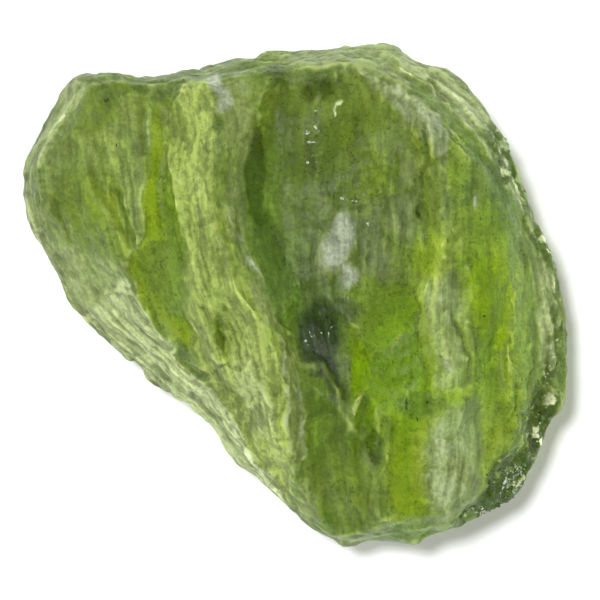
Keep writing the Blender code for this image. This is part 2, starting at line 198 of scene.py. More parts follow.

# What the glass looks like from place to place, painted in this order: areas with an outline, then
# round spots, then strokes. Each has a finish and a strength. Not all is the glass's own colour: the
# dark green and near-black finishes are painted shade, the gleam finish is a painted highlight, and the
# haze finish also carries painted glints. An area then has the softness of its edge and its outline, a
# spot its middle, half sizes and turn, and a stroke its half width and line.
areas = {
    "leafUpper": ("green", 0.9, 0.3, [(-10.8, 9.8), (-7.0, 10.4), (-6.9, 8.4), (-8.8, 7.9), (-10.2, 7.4),
        (-11.6, 7.7)]),
    "leafBlade": ("bright", 0.4, 0.15, [(-8.5, 9.4), (-6.9, 9.6), (-6.8, 7.0), (-7.1, 3.3), (-8.0, 1.4),
        (-8.4, 2.2), (-8.8, 4.3), (-8.9, 7.0)]),
    "valley": ("olive", 0.9, 0.2, [(-6.7, 8.8), (-5.8, 9.4), (-5.6, 5.5), (-5.2, 2.6), (-5.1, -0.2),
        (-4.9, -2.6), (-6.0, -2.3), (-7.0, -0.8), (-7.8, 1.3), (-7.0, 3.2), (-6.7, 6.5)]),
    "slope": ("bright", 1.0, 0.12, [(-5.3, 9.8), (-4.3, 10.2), (-3.7, 8.7), (-3.3, 4.1), (-2.6, 1.8),
        (-1.0, -2.0), (-0.3, -4.6), (-0.3, -8.2), (-0.2, -10.1), (-1.6, -7.8), (-4.0, -4.4),
        (-4.8, -2.6), (-5.1, -0.2), (-5.3, 2.6), (-5.8, 5.5), (-6.0, 8.4)]),
    "underLeaf": ("pale", 0.4, 0.3, [(-12.8, 5.1), (-11.2, 2.8), (-10.4, 2.4), (-8.2, 1.3),
        (-6.9, -1.1), (-5.5, -2.8), (-7.0, -4.3), (-11.3, -0.2), (-13.3, 3.6)]),
    "stripedBevel": ("pale", 0.95, 0.15, [(-8.1, 0.7), (-6.9, -1.1), (-6.2, -2.3), (-4.8, -3.9),
        (-3.3, -5.4), (-2.3, -6.6), (-1.7, -7.8), (-1.2, -8.6), (0.0, -10.4), (-0.3, -11.8),
        (-5.6, -7.0), (-11.3, -1.7)]),
    "leftChip": ("pale", 0.45, 0.12, [(-10.2, 10.4), (-10.2, 9.0), (-11.2, 7.6), (-12.1, 6.1),
        (-13.3, 6.0), (-12.8, 8.9), (-10.9, 10.8)]),
    "crestBand": ("grey", 0.7, 0.2, [(-3.3, 8.0), (-2.8, 9.4), (-2.1, 8.5), (-2.3, 5.5), (-2.2, 2.6),
        (-1.6, 0.2), (-0.5, -1.7), (0.3, -2.7), (-0.2, -4.5), (-1.0, -2.0), (-2.6, 1.7), (-3.3, 4.0)]),
    "crescent": ("grey", 0.95, 0.08, [(-0.6, -2.5), (0.0, -3.8), (0.4, -5.3), (0.4, -7.4), (0.0, -8.5),
        (-0.2, -7.0), (-0.2, -4.7)]),
    "lens": ("grey", 0.9, 0.1, [(-2.1, 0.5), (-1.3, -0.0), (-0.9, -1.3), (-1.6, -1.0), (-2.1, -0.2)]),
    "topBevel": ("pale", 0.42, 0.12, [(-4.4, 10.6), (-3.1, 11.0), (0.5, 11.0), (2.0, 10.8), (3.9, 10.2),
        (5.0, 9.5), (6.5, 12.3), (-0.7, 13.2), (-4.6, 11.8)]),
    "upperRightBevel": ("pale", 0.65, 0.15, [(4.9, 11.2), (6.0, 9.9), (7.8, 8.3), (9.8, 5.6),
        (11.0, 3.8), (12.2, 2.3), (14.7, 2.6), (10.8, 10.4), (6.0, 12.8)]),
    "haloArc": ("hazeAndGlint", 0.6, 0.15, [(3.3, 10.7), (5.0, 9.8), (6.8, 8.6), (7.3, 7.0), (7.0, 6.1),
        (6.0, 7.5), (4.6, 9.0), (3.1, 10.2)]),
    "rightBevel": ("pale", 0.75, 0.2, [(11.0, 3.8), (12.2, 2.3), (12.7, -0.2), (12.8, -4.1),
        (12.0, -4.7), (11.7, -1.7), (11.3, 1.2)]),
    "domeLight": ("olive", 0.75, 0.6, [(2.3, 0.6), (4.5, 1.6), (7.0, 3.8), (9.4, 4.6), (10.6, 1.8),
        (11.3, -2.6), (10.7, -7.2), (8.4, -9.8), (4.4, -11.2), (3.9, -8.4), (3.0, -5.4), (2.4, -2.2)]),
    "fibreBand": ("pale", 0.5, 0.5, [(5.7, 0.8), (8.0, 0.9), (8.3, -2.0), (8.2, -4.3), (6.2, -4.6),
        (5.9, -2.0)]),
    "window": ("clear", 1.0, 0.55, [(4.0, 0.2), (5.4, 0.4), (6.2, -1.2), (6.4, -4.7), (5.0, -5.0),
        (3.7, -5.2), (2.7, -4.1), (2.7, -2.2)]),
    "windowLow": ("clear", 0.95, 0.5, [(4.4, -5.6), (6.5, -5.5), (6.5, -7.5), (6.2, -10.6),
        (4.6, -10.9), (4.3, -8.4)]),
    "windowRight": ("clear", 1.0, 0.45, [(8.2, 2.2), (9.8, 1.6), (10.2, -1.7), (10.1, -2.5), (8.4, -2.4),
        (8.1, -0.2)]),
    "windowRightLow": ("olive", 0.8, 0.4, [(8.9, -2.6), (10.8, -2.7), (10.7, -4.5), (10.1, -8.4),
        (9.6, -8.4), (9.1, -5.1)]),
    "frostedCorner": ("mist", 0.85, 0.5, [(6.8, -5.1), (8.8, -4.9), (8.9, -7.0), (8.4, -9.9),
        (7.0, -11.0), (6.3, -9.9), (6.4, -7.0)]),
    "shell": ("green", 0.7, 0.3, [(0.6, -3.7), (1.6, -3.7), (2.2, -5.1), (3.0, -7.0), (3.7, -9.9),
        (3.5, -11.3), (0.7, -10.8), (0.5, -7.0)]),
    "outerBreak": ("pale", 0.6, 0.15, [(12.3, -4.6), (13.2, -4.6), (13.0, -7.0), (11.3, -9.4),
        (9.8, -11.3), (8.4, -11.3), (9.4, -10.6), (11.1, -8.4)]),
    "brokenCorner": ("paintedShade", 0.8, 0.3, [(12.1, -4.5), (12.4, -4.9), (12.2, -6.6), (11.3, -8.0),
        (10.3, -9.9), (8.4, -10.6), (8.2, -10.2), (9.6, -8.9), (10.4, -8.0), (11.2, -6.8)]),
}
spots = {
    "oliveColumn": ("olive", 0.7, (3.1, 6.3), (1.25, 2.7), 0),
    "scoopLeftLight": ("green", 0.7, (-0.7, 7.0), (0.82, 1.73), 0),
    "crackLeftDark": ("paintedShade", 0.95, (-1.9, 6.2), (0.43, 2.02), 4),
    "crackLeftDarkLow": ("paintedShade", 0.9, (-1.8, 4.3), (0.39, 1.16), 10),
    "scoopLowDark": ("paintedShade", 0.55, (-1.2, 2.4), (0.48, 1.64), 14),
    "scoopShade": ("paintedShade", 0.35, (1.2, 7.4), (3.4, 3.4), 0),
    "scoopShadeRight": ("paintedShade", 0.3, (5.6, 5.6), (1.2, 2.6), 0),
    "speckColumn": ("paintedBlackShade", 0.5, (0.8, 7.2), (0.53, 2.12), 0),
    "speckColumnTop": ("paintedShade", 0.6, (1.1, 9.8), (0.77, 0.67), 0),
    "scoopTopDark": ("paintedShade", 0.6, (-0.7, 10.4), (0.53, 0.67), 0),
    # painted shade in the deep pit and round it
    "shadedPit": ("paintedBlackShade", 1.0, (1.1, -2.1), (1.06, 1.64), 10),
    "shadedPitLow": ("paintedBlackShade", 0.8, (2.0, -4.0), (0.58, 1.35), 16),
    "shadedPitTop": ("paintedBlackShade", 0.6, (1.7, -0.8), (1.25, 0.77), 0),
    "cloud": ("hazeAndGlint", 1.0, (2.0, 2.5), (0.72, 1.44), -18),
    "cloudTail": ("hazeAndGlint", 0.8, (2.4, 0.8), (0.43, 0.77), -30),
    "cloudTop": ("mist", 0.7, (1.3, 4.0), (0.58, 0.67), 30),
    "mist": ("mist", 0.6, (5.3, 5.8), (0.58, 0.87), 0),
    "mistLow": ("mist", 0.65, (5.2, 3.7), (0.77, 0.87), 0),
    "mistRight": ("mist", 0.2, (7.5, 2.6), (0.67, 0.87), 0),
    "mistMiddle": ("mist", 0.5, (3.9, 1.6), (0.87, 1.06), 0),
    # the thumb pit as lit from the left: painted shade on its left wall, a painted highlight on its right
    # side
    "thumbWall": ("paintedShade", 0.6, (-3.55, -2.0), (0.18, 0.96), 6),
    "thumbPitLight": ("bright", 0.7, (-2.7, -2.6), (0.53, 0.72), 0),
    "notch": ("paintedShade", 0.5, (-5.4, -2.6), (0.34, 0.53), 30),
    "valleyDark": ("paintedShade", 0.4, (-6.5, -1.1), (0.34, 1.06), 24),
    "slot": ("paintedShade", 0.9, (3.6, -7.2), (0.43, 1.35), 6),
    "dotsPatch": ("paintedShade", 0.45, (5.9, -5.2), (1.25, 0.43), 8),
    "leafShade": ("green", 0.9, (-10.4, 4.3), (1.64, 1.83), 0),
    "leafLowShade": ("paintedShade", 0.35, (-9.8, 2.6), (1.16, 0.58), -14),
    "crestFrost": ("hazeAndGlint", 1.0, (-3.9, 10.1), (0.43, 0.82), 20),
    "crestFrostLow": ("hazeAndGlint", 0.7, (-3.4, 9.2), (0.39, 0.67), 14),
    "crestFrostRight": ("hazeAndGlint", 0.35, (-2.8, 9.8), (0.67, 0.58), 0),
    "rimDark": ("paintedShade", 0.55, (9.6, 5.4), (0.43, 1.25), 22),
    "rimDarkLow": ("paintedShade", 0.5, (11.1, 2.0), (0.34, 0.96), 12),
    "bevelNotch": ("paintedShade", 0.5, (-6.6, -4.4), (0.67, 0.43), -20),
    "glint": ("hazeAndGlint", 0.8, (8.4, 4.3), (0.16, 0.40), 0),
    "cornerGleam": ("gleam", 0.7, (10.5, -9.5), (0.45, 0.36), 35),
    "cornerGleamHigh": ("gleam", 0.5, (11.2, -7.6), (0.24, 0.24), 0),
    "cornerGleamLow": ("gleam", 0.6, (9.3, -10.8), (0.39, 0.14), 10),
    "domeHaze": ("mist", 0.5, (7.3, -0.2), (0.67, 1.64), 0),
    "oliveRight": ("olive", 0.6, (7.5, 6.0), (0.67, 1.64), 0),
    "oliveMiddle": ("olive", 0.5, (4.0, -0.2), (0.96, 0.67), 0),
    "shellOlive": ("olive", 0.3, (1.3, -6.3), (0.63, 1.06), 0),
    "shellOliveLow": ("olive", 0.35, (2.0, -9.3), (0.72, 0.96), 0),
    "slopeLight": ("pale", 0.4, (-1.9, -4.6), (0.9, 2.4), 24),
    "domeHazeLow": ("hazeAndGlint", 0.4, (6.9, -7.8), (1.3, 2.4), 0),
    "rimFrost": ("hazeAndGlint", 0.35, (8.7, 8.3), (0.9, 3.4), 42),
    "foot": ("grey", 0.5, (0.5, -9.9), (0.58, 1.16), 0),
    "footRight": ("grey", 0.5, (1.7, -11.6), (1.16, 0.48), 0),
}
# The gleam strokes are painted highlights, and so are the pale blade edge and the haze lines along the
# crest edge and the crescent; the dark green strokes along the cracks, grooves and fibres of the slope are
# painted shade
strokes = {
    "leafVein": ("bright", 0.35, 0.13, [(-10.1, 7.5), (-9.4, 5.4), (-8.3, 2.4)]),
    "leafVeinRight": ("bright", 0.45, 0.11, [(-9.1, 8.0), (-8.9, 6.3), (-8.8, 4.5)]),
    "leafVeinMiddle": ("bright", 0.4, 0.09, [(-9.6, 7.7), (-9.1, 5.9), (-8.8, 4.6)]),
    "leafVeinLeft": ("bright", 0.4, 0.12, [(-10.9, 5.5), (-10.0, 3.9), (-8.9, 2.2)]),
    "bladeEdge": ("pale", 0.7, 0.09, [(-7.0, 8.6), (-6.8, 6.7), (-7.0, 4.8), (-7.1, 3.2), (-8.0, 1.5)]),
    "valleyFibre": ("bright", 0.8, 0.1, [(-6.3, 8.8), (-5.9, 7.0), (-5.7, 5.3), (-5.3, 2.6)]),
    "valleyFibreLeft": ("bright", 0.6, 0.08, [(-6.5, 8.5), (-6.1, 6.3), (-5.8, 4.3)]),
    "slopeFibre": ("pale", 0.45, 0.11, [(-5.0, 8.4), (-4.6, 5.1), (-4.0, 1.7), (-3.3, -1.2)]),
    "slopeFibreRight": ("pale", 0.45, 0.11, [(-4.2, 8.9), (-3.8, 5.1), (-3.2, 1.6), (-1.9, -1.7)]),
    "slopeDark": ("paintedShade", 0.55, 0.08, [(-5.3, 8.9), (-5.1, 7.0), (-4.8, 5.1)]),
    "slopeDarkRight": ("paintedShade", 0.65, 0.07, [(-4.4, 9.4), (-4.0, 7.0), (-3.7, 4.6)]),
    "slopeDarkLow": ("paintedShade", 0.45, 0.07, [(-4.8, 4.6), (-4.4, 1.7), (-3.9, -0.5)]),
    "foldShade": ("paintedShade", 0.35, 0.08, [(-2.1, -4.0), (-1.3, -5.4), (-1.1, -6.6)]),
    "foldLight": ("pale", 0.6, 0.11, [(-1.9, -3.7), (-1.1, -5.2), (-0.9, -6.6), (-0.5, -7.1)]),
    "fineCrack": ("paintedShade", 0.6, 0.07, [(-3.8, -3.6), (-3.2, -3.4), (-2.5, -3.5)]),
    "crestEdge": ("hazeAndGlint", 0.75, 0.13, [(-3.3, 4.3), (-2.5, 2.6), (-1.8, 1.1), (-1.4, 0.2)]),
    "crescentLine": ("hazeAndGlint", 0.85, 0.11, [(-0.8, -2.2), (-0.4, -3.6), (-0.2, -5.1), (-0.3, -6.2),
        (-0.2, -7.9), (-0.0, -10.1)]),
    "crescentLineRight": ("hazeAndGlint", 0.75, 0.1, [(-0.5, -2.6), (0.1, -3.9), (0.4, -5.4), (0.4, -7.4),
        (0.1, -8.5)]),
    "shellRim": ("grey", 0.7, 0.14, [(-0.1, -2.9), (0.8, -3.2), (1.3, -3.0), (2.0, -4.3), (2.4, -5.4),
        (3.0, -6.7)]),
    "crack": ("paintedShade", 1.0, 0.13, [(6.0, 6.0), (6.2, 4.8), (6.1, 3.5)]),
    "crackHigh": ("paintedShade", 0.6, 0.09, [(5.9, 8.0), (6.0, 7.0), (6.0, 5.9)]),
    "crackLow": ("paintedShade", 0.9, 0.14, [(5.9, 3.2), (5.9, 2.3)]),
    "stripeOne": ("paintedShade", 0.6, 0.08, [(5.7, 0.1), (5.8, -2.2), (6.2, -4.7)]),
    "stripeTwo": ("paintedShade", 0.65, 0.16, [(7.5, -0.7), (7.8, -2.4), (8.1, -3.9)]),
    "stripeThree": ("paintedShade", 0.6, 0.1, [(8.3, -1.4), (8.4, -2.6), (8.9, -3.7)]),
    "stripeFour": ("paintedShade", 0.7, 0.1, [(10.1, -2.1), (10.2, -2.7), (10.4, -3.2)]),
    "stripeFive": ("paintedShade", 0.85, 0.08, [(10.3, -4.0), (10.4, -5.1), (10.2, -6.3)]),
    "stripeSix": ("paintedShade", 0.5, 0.1, [(11.1, -3.4), (11.1, -5.1), (10.8, -6.5)]),
    "paleStripe": ("hazeAndGlint", 0.7, 0.1, [(6.7, -2.4), (7.0, -3.2), (7.2, -3.7)]),
    "paleStripeHigh": ("hazeAndGlint", 0.6, 0.09, [(6.8, 0.6), (7.0, -0.5)]),
    "yellowStreak": ("bright", 0.9, 0.24, [(9.8, -6.0), (9.8, -7.5), (9.8, -8.6)]),
    "rimGlint": ("gleam", 0.8, 0.14, [(9.5, 7.2), (10.0, 5.9), (10.6, 4.8), (11.0, 3.9)]),
    "rimGlintLow": ("gleam", 0.6, 0.1, [(11.8, 3.0), (12.2, 1.6), (12.4, 0.2)]),
    "bevelGleam": ("gleam", 0.65, 0.3, [(-3.1, -6.2), (-2.2, -7.4), (-1.5, -8.5), (-0.6, -9.7),
        (0.1, -10.9)]),
    "bevelGleamHigh": ("gleam", 0.5, 0.13, [(-6.5, -3.1), (-5.3, -4.3), (-3.9, -5.9)]),
    "bevelOuterEdge": ("gleam", 0.5, 0.09, [(-9.0, -2.4), (-7.7, -3.7), (-7.1, -4.4)]),
    "bottomEdge": ("pale", 0.6, 0.24, [(0.8, -10.9), (2.4, -11.8), (6.0, -11.8), (8.0, -11.0)]),
    "leftRimEdge": ("pale", 0.8, 0.14, [(-12.7, 6.0), (-12.7, 4.1), (-12.1, 1.9), (-11.2, 0.1)]),
    "leafHollowEdge": ("pale", 0.6, 0.09, [(-11.6, 3.5), (-11.0, 3.3), (-10.6, 2.6), (-10.9, 1.9)]),
    "chipEdge": ("gleam", 0.4, 0.09, [(-10.4, 9.8), (-11.1, 8.4), (-11.9, 7.4)]),
    "topEdge": ("pale", 0.6, 0.1, [(-3.2, 10.9), (0.5, 10.9), (2.0, 10.7), (3.9, 10.1), (5.6, 9.0),
        (7.0, 8.4), (7.8, 6.3)]),
    "upperStep": ("gleam", 0.5, 0.08, [(4.8, 11.0), (6.0, 10.0), (7.2, 8.8)]),
    "upperStepRight": ("gleam", 0.5, 0.08, [(6.5, 10.4), (7.9, 9.2), (9.1, 7.8)]),
    "whiteCrescent": ("gleam", 1.0, 0.09, [(2.2, 9.1), (1.8, 8.8), (1.8, 8.4)]),
    "cloudSpur": ("hazeAndGlint", 0.9, 0.09, [(2.1, 1.6), (2.6, 0.6)]),
    "scoopSpur": ("hazeAndGlint", 0.6, 0.15, [(0.8, 10.1), (1.0, 9.4), (0.6, 9.0)]),
    "mistCrackSide": ("hazeAndGlint", 0.8, 0.12, [(6.9, 7.5), (7.0, 6.6)]),
}

# How soft the painted edges are, and how strokes are broken up
skin = dict(
    frontEdge=(-0.1, 0.25),
    behindEdge=(0.25, -0.1),
    spotEdge=(1.35, 0.5),
    speckEdge=(1.2, 0.4),
    strokeEdge=(1.7, 0.3),
    strokeBreaks=(0.55, 0.9),
    breakSize=(0.5, 0.9, 0.7),
    # Away from the windows the back has broad patches, as (base, swing, most)
    broadSize=(2.2, 6.0, 3.0),
    backPatches=dict(pale=(0.2, 0.6, 0.45), clear=(0.15, -1.0, 0.4)),
)

# Where small white and dark specks lie: middle, half sizes, strength. The white specks in the middle are
# the glass's own; those on the chipped rim and the broken corner are painted glints
speckPlaces = {
    "white": [((1.4, 0.4), (1.8, 2.6), 0.5), ((0.8, 7.2), (0.6, 3.2), 0.7), ((3.0, 4.0), (2.0, 2.6), 0.6),
              ((1.1, -2.0), (1.2, 1.6), 0.6), ((10.6, -9.0), (1.6, 1.4), 0.95),
              ((11.7, -6.6), (0.5, 2.0), 0.8), ((9.0, -10.6), (1.4, 0.5), 0.85),
              ((12.3, -2.6), (0.6, 3.4), 0.75), ((11.2, 3.4), (0.7, 2.6), 0.6),
              ((9.9, 6.6), (0.6, 1.6), 0.7)],
    "dark": [((4.8, -2.6), (1.9, 2.6), 0.5), ((5.8, -5.3), (1.7, 0.6), 0.8),
             ((9.2, -0.6), (1.2, 2.6), 0.55), ((5.4, -8.4), (1.4, 2.4), 0.5),
             ((7.0, 3.0), (1.2, 3.6), 0.5), ((10.0, -8.6), (1.4, 1.2), 0.7)],
}


def dividedStone(node):
    # The solid's own mesh, welded, rounded by one subdivision and divided again where it is seen most
    bm = bmesh.new()
    bm.from_mesh(node.data)
    bmesh.ops.remove_doubles(bm, verts=bm.verts, dist=0.002 * mm)
    welded = bpy.data.meshes.new(stone["name"])
    bm.to_mesh(welded)
    bm.free()
    piece = bpy.data.objects.new(stone["name"], welded)
    bpy.context.scene.collection.objects.link(piece)
    rounding = piece.modifiers.new("rounding", "SUBSURF")
    rounding.levels = rounding.render_levels = 1
    graph = bpy.context.evaluated_depsgraph_get()
    piece.data = bpy.data.meshes.new_from_object(piece.evaluated_get(graph))
    piece.modifiers.clear()
    bm = bmesh.new()
    bm.from_mesh(piece.data)
    bmesh.ops.triangulate(bm, faces=bm.faces)
    for _ in range(stone["finerPasses"]):
        bm.normal_update()
        front = {e for f in bm.faces if f.normal.z > stone["frontTilt"] for e in f.edges}
        long = [e for e in front if e.calc_length() > stone["longestEdge"] * mm]
        bmesh.ops.subdivide_edges(bm, edges=long, cuts=1)
        bmesh.ops.triangulate(bm, faces=bm.faces)
    for _ in range(stone["wearPasses"]):
        bmesh.ops.smooth_vert(bm, verts=bm.verts, factor=0.5,
                              use_axis_x=True, use_axis_y=True, use_axis_z=True)
    places = np.array([v.co for v in bm.verts]) / mm
    isCalm = np.zeros(len(places), bool)
    for name in stone["windows"]:
        isCalm |= areaDepth(places, areas[name][3]) > 0
    calmVerts = [v for v, calm in zip(bm.verts, isCalm) if calm and v.normal.z > stone["frontTilt"]]
    for _ in range(stone["calmPasses"]):
        bmesh.ops.smooth_vert(bm, verts=calmVerts, factor=0.5,
                              use_axis_x=True, use_axis_y=True, use_axis_z=True)
    for face in bm.faces:
        face.smooth = True
    bm.to_mesh(piece.data)
    bm.free()
    print("mesh mended:", piece.data.validate())
    return piece


def bent(points, bends):
    # No line on the stone is straight: each place is looked up a little to one side
    for far, width in bends:
        points = points + far * np.array([noise.noise_vector(Vector(p / width)) for p in points])
    return points


def flowPlaces(points):
    # Left of the crest the flow lines follow it, and right of it they straighten
    crest = np.array(stone["crest"])[::-1]
    crestX = np.interp(points[:, 1], crest[:, 1], crest[:, 0])
    follow = 1 / (1 + np.exp(0.5 * (points[:, 0] - crestX - 2)))
    return np.column_stack([points[:, 0] - crestX * follow, points[:, 1], points[:, 2]])


def rimPlaces(points):
    # How far in from the outline each point is, then the way round it, then height
    angle, radius = np.arctan2(points[:, 1], points[:, 0]), np.hypot(points[:, 0], points[:, 1])
    steps = np.linspace(-math.pi, math.pi, 73)
    nearest = np.digitize(angle, steps) - 1
    reach = np.array([radius[nearest == i].max() for i in range(72)])
    outline = np.interp(angle, (steps[1:] + steps[:-1]) / 2, reach, period=2 * math.pi)
    return np.column_stack([12 * (1 - radius / outline), 12 * angle, points[:, 2]])


def ovalDistance(points, middle, halfWide, halfLong, turn=0.0):
    # Distance in plan from the middle of a turned oval, 1 on its edge
    a = math.radians(turn)
    dx, dy = points[:, 0] - middle[0], points[:, 1] - middle[1]
    across, along = dx * math.cos(a) + dy * math.sin(a), dy * math.cos(a) - dx * math.sin(a)
    return np.hypot(across / halfWide, along / halfLong)


def chipLook(points, normals):
    # Where the rim is chipped into small facets, a number from 0 to 1 for each facet, and its slant
    share = np.zeros(len(points))
    for middle, halves, turn, strength in chips["places"]:
        far = ovalDistance(points, middle, *halves, turn)
        share = np.maximum(share, strength * softStep(1.2, 0.8, far))
    share *= softStep(-0.2, 0.1, normals[:, 2])
    luck, slant = np.zeros(len(points)), np.zeros(len(points))
    for i in np.nonzero(share)[0]:
        place = Vector(points[i]) / chips["size"]
        middle = noise.voronoi(place)[1][0]
        luck[i] = noise.cell(middle * 7.3)
        slant[i] = (place - middle).dot(noise.noise_vector(middle * 3.7)) * chips["slant"] * chips["size"]
    return share, luck, slant


def lookUp(points, normals):
    # How much of each finish there is at each point, and how much of the place is rim
    front = softStep(*skin["frontEdge"], normals[:, 2])
    shares = {kind: np.zeros(len(points)) for kind in finishes}
    onRim = softStep(0.6, 0.85, np.hypot(normals[:, 0], normals[:, 1])) * softStep(3.2, 4.4, points[:, 2])

    def lay(kind, cover):
        for share in shares.values():
            share *= 1 - cover
        if kind in shares:
            shares[kind] += cover

    for name, (kind, strength, softness, outline) in areas.items():
        cover = softStep(-softness, softness, areaDepth(points, outline)) * front
        lay(kind, strength * cover)
        onRim = np.maximum(onRim, cover) if name in stone["rimNames"] else onRim * (1 - 0.9 * cover)
    for kind, strength, middle, halves, turn in spots.values():
        far = ovalDistance(points, middle, *halves, turn)
        lay(kind, strength * front * softStep(*skin["spotEdge"], far))
    base, swing = skin["strokeBreaks"]
    broken = base + swing * noiseAt(points / skin["breakSize"], 11.0)
    outer, inner = skin["strokeEdge"]
    for kind, strength, width, path in strokes.values():
        gap, _, along = lineDistance(points, path)
        thin = width * (0.3 + 0.7 * np.sin(math.pi * np.clip(along, 0, 1)))     # a stroke thins to its ends
        lay(kind, np.clip(strength * broken, 0, 1) * front * softStep(outer * thin, inner * thin, gap))
    broken, luck, _ = chipLook(points, normals)
    # chip facets: a painted glint on the bright ones, painted shade on the dark ones
    lay("gleam", chips["gleams"] * broken * softStep(chips["bright"], chips["bright"] + 0.02, luck))
    lay("paintedShade", chips["facetShade"] * broken * softStep(chips["dark"], chips["dark"] - 0.02, luck))
    return shares, onRim


def ripples(places, waves):
    # Long waves with sharp crests
    lift = np.zeros(len(places))
    for width, height, stretch in waves:
        wave = noiseAt(places / [width, width * stretch, 2 * width], width)
        lift += height * (0.7 * wave - np.abs(wave) + 0.15)
    return lift


def carve(piece):
    points, normals = meshPoints(piece.data), meshNormals(piece.data)
    for middle, radius, shift in nudges.values():
        near = np.exp(-((points[:, :2] - middle) ** 2).sum(axis=1) / (2 * radius ** 2))
        points[:, :2] += near[:, None] * shift
    wavy, lines = bent(points, stone["patchBends"]), bent(points, stone["flowBends"])
    shares, onRim = lookUp(wavy, normals)
    calm = np.clip(1 - 0.85 * shares["clear"] - 0.3 * shares["olive"] - 0.3 * shares["hazeAndGlint"], 0, 1)
    flow, rim = flowPlaces(lines), rimPlaces(lines)
    onFront = softStep(0.1, 0.5, normals[:, 2])
    pits = stone["pits"]
    onBack = softStep(0.2, -0.4, normals[:, 2]) + softStep(*pits["below"], points[:, 2])
    onBack = np.clip(onBack, 0, 1)
    lift = np.zeros(len(points))
    lift += ripples(flow, stone["flow"]) * (1 - onRim) * calm + ripples(rim, stone["rimFlow"]) * onRim
    for width, height in stone["grain"]:
        lift += height * noiseAt(wavy / width, 3.0)
    edge = softStep(0.7, 0.95, np.hypot(normals[:, 0], normals[:, 1]))
    for width, height in stone["rimGrain"]:
        lift += height * noiseAt(wavy / width, 9.0) * edge
    broken, _, facet = chipLook(wavy, normals)
    lift += facet * broken
    cells = wavy / [pits["width"], pits["width"] * pits["stretch"], pits["width"]]
    hollow = np.array([noise.voronoi(Vector(c))[0][0] for c in cells])
    lift -= pits["depth"] * softStep(pits["rim"], pits["floor"], hollow) * onBack
    for path, height, width, step in carvedLines.values():
        gap, side, _ = lineDistance(wavy, path)
        ridge = np.exp(-(gap / width) ** 2)
        ledge = np.exp(-gap / (2.5 * width)) * np.where(side > 0, 0.5, -0.5) * softStep(0, width * 0.5, gap)
        lift += (height * ridge + step * ledge) * onFront * (0.4 + 0.6 * calm)
    seated = softStep(0.0, stone["keptFlat"], points[:, 2])
    low, high = np.array(cadBox) / mm
    placePoints(piece.data, np.clip(points + normals * (lift * seated)[:, None], low, high))


def standing(mesh):
    # Below zero in grooves and above zero on edges, from how far each point stands out of its neighbours
    points, normals = meshPoints(mesh), meshNormals(mesh)
    ends = np.empty(len(mesh.edges) * 2, np.int32)
    mesh.edges.foreach_get("vertices", ends)
    a, b = ends.reshape(-1, 2).T
    total, count = np.zeros_like(points), np.bincount(np.r_[a, b], minlength=len(points))
    np.add.at(total, a, points[b])
    np.add.at(total, b, points[a])
    length = np.zeros(len(points))
    gap = np.linalg.norm(points[a] - points[b], axis=1)
    np.add.at(length, a, gap)
    np.add.at(length, b, gap)
    stands = ((points - total / count[:, None]) * normals).sum(axis=1) / (length / count) ** 2
    for _ in range(3):
        around = np.zeros(len(points))
        np.add.at(around, a, stands[b])
        np.add.at(around, b, stands[a])
        stands = 0.4 * stands + 0.6 * around / count
    return stands


def keep(mesh, name, values):
    # Stores one number or one place for each point of the mesh, for the material to read
    kind, key = ("FLOAT", "value") if values.ndim == 1 else ("FLOAT_VECTOR", "vector")
    layer = mesh.attributes.new(name, kind, "POINT")
    layer.data.foreach_set(key, values.astype(np.float32).ravel())


def paint(piece):
    mesh = piece.data
    points, normals = meshPoints(mesh), meshNormals(mesh)
    wavy, lines = bent(points, stone["patchBends"]), bent(points, stone["flowBends"])
    flow, rim = flowPlaces(lines), rimPlaces(lines)
    shares, onRim = lookUp(wavy, normals)
    behind = softStep(*skin["behindEdge"], normals[:, 2])
    broad = noiseAt(flow / skin["broadSize"], 7.0)
    lit, clear = np.zeros(len(points)), np.zeros(len(points))
    for name, share in stone["windows"].items():
        under = softStep(*stone["underWindow"], areaDepth(points, areas[name][3]))
        lit, clear = np.maximum(lit, under), np.maximum(clear, share * under)
    for kind, start in (("pale", 0), ("clear", clear)):
        base, swing, most = skin["backPatches"][kind]
        shares[kind] += behind * (start + (1 - lit) * np.clip(base + swing * broad, 0, most))
    rest = 1 - sum(shares.values())
    for name, place in (("passes", 1), ("dull", 2), ("fibre", 3)):
        value = rest * glass["bodyFinish"][place]
        for kind, share in shares.items():
            value = value + share * finishes[kind][place]
        keep(mesh, name, value)
    for kind, share in shares.items():
        keep(mesh, kind, share)
    for kind, places in speckPlaces.items():
        mask = np.zeros(len(points))
        for middle, halves, strength in places:
            far = ovalDistance(wavy, middle, *halves)
            mask = np.maximum(mask, strength * softStep(*skin["speckEdge"], far) * (1 - behind))
        keep(mesh, kind + "Specks", mask)
    keep(mesh, "edge", np.clip(standing(mesh) * glass["edgeGain"], -1, 1))
    keep(mesh, "rimShare", onRim)
    keep(mesh, "flow", flow)
    keep(mesh, "rim", rim)


# The glass. Each finish has a colour, how much light passes, how rough it is and how strongly its
# fibres show. The dark green and near-black finishes are painted shade, the gleam finish is a painted
# highlight, and the haze finish also carries painted glints.

